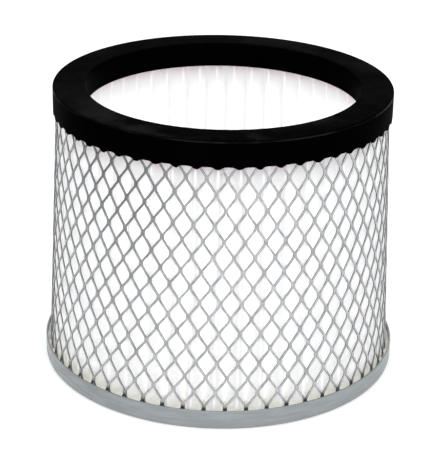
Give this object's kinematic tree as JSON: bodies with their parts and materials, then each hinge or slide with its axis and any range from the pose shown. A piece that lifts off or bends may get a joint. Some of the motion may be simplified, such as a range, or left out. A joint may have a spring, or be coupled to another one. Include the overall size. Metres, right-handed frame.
{
  "type": "hepa filter cartridge",
  "caption": "Round pleated air filter cartridge with an open moulded mouth ring, an expanded metal guard and a closed metal foot.",
  "frame": {"origin": "centre of the closed cap's underside, on the cartridge's axis", "axes": "+Z along the axis, from the closed foot to the open mouth; -Y towards the viewer of the picture"},
  "size_m": [0.1688, 0.1688, 0.1355],
  "materials": {
    "ring_rubber": "smooth black moulded polyurethane, satin on its top face",
    "guard_steel": "galvanised expanded sheet, dull grey",
    "filter_sheet": "white nonwoven filter sheet, matt",
    "potting": "cream cast adhesive",
    "cap_steel": "galvanised sheet, dull grey with faint cloudy spangle"
  },
  "bodies": {
    "root": {"top_ring": "ring_rubber", "outer_guard": "guard_steel", "filter_media": "filter_sheet", "potting_bed": "potting", "bottom_cap": "cap_steel"}
  },
  "joints": []
}
